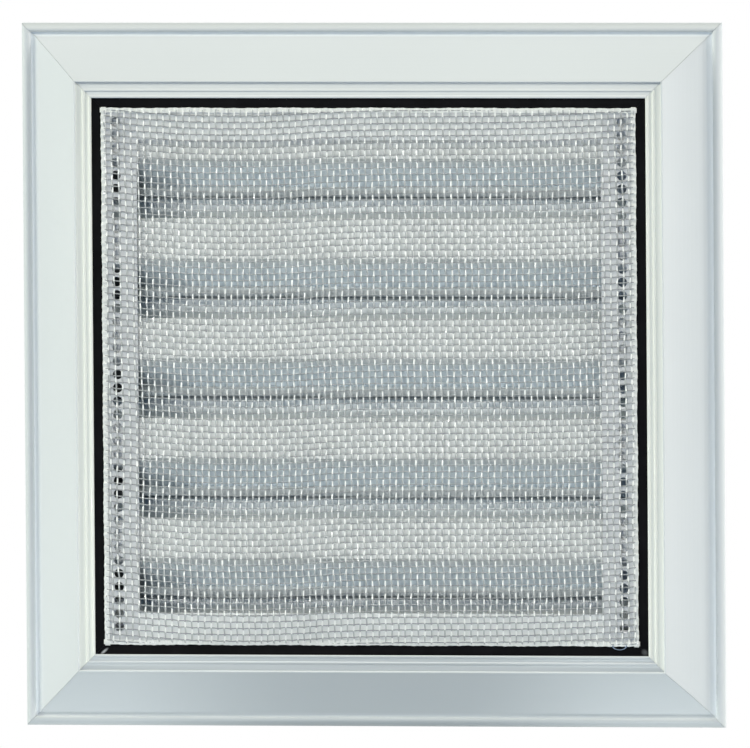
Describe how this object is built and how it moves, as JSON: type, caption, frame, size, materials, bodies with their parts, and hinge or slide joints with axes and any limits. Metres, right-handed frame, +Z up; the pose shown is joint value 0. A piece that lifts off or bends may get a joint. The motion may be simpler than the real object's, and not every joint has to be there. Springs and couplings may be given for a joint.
{
  "type": "wall vent grille",
  "caption": "Square wall vent grille: a mitred frame with a louvred core behind a fine wire insect screen, set in a black rubber seal.",
  "frame": {"origin": "centre of the wall opening, in the plane of the wall face that the frame lies on", "axes": "+Z up, +Y into the wall, +X to the right seen from the room; the front faces -Y"},
  "size_m": [0.25, 0.0414, 0.25],
  "materials": {
    "frame": "satin white-silver lacquer",
    "cleat": "plain cast aluminium",
    "seal": "smooth black rubber",
    "core": "plain rolled aluminium sheet",
    "blade": "satin drawn aluminium",
    "screw": "zinc plated steel",
    "screen": "bright woven aluminium wire"
  },
  "bodies": {
    "root": {"frame_top": "frame", "frame_bottom": "frame", "frame_left": "frame", "frame_right": "frame", "cleat_top_left": "cleat", "cleat_top_right": "cleat", "cleat_bottom_left": "cleat", "cleat_bottom_right": "cleat", "seal_top": "seal", "seal_bottom": "seal", "seal_left": "seal", "seal_right": "seal", "core_side_left": "core", "core_side_right": "core", "core_top_rail": "core", "core_bottom_rail": "core", "blade_1": "blade", "blade_2": "blade", "blade_3": "blade", "blade_4": "blade", "blade_5": "blade", "core_screws": "screw", "mesh_screen": "screen"}
  },
  "joints": []
}
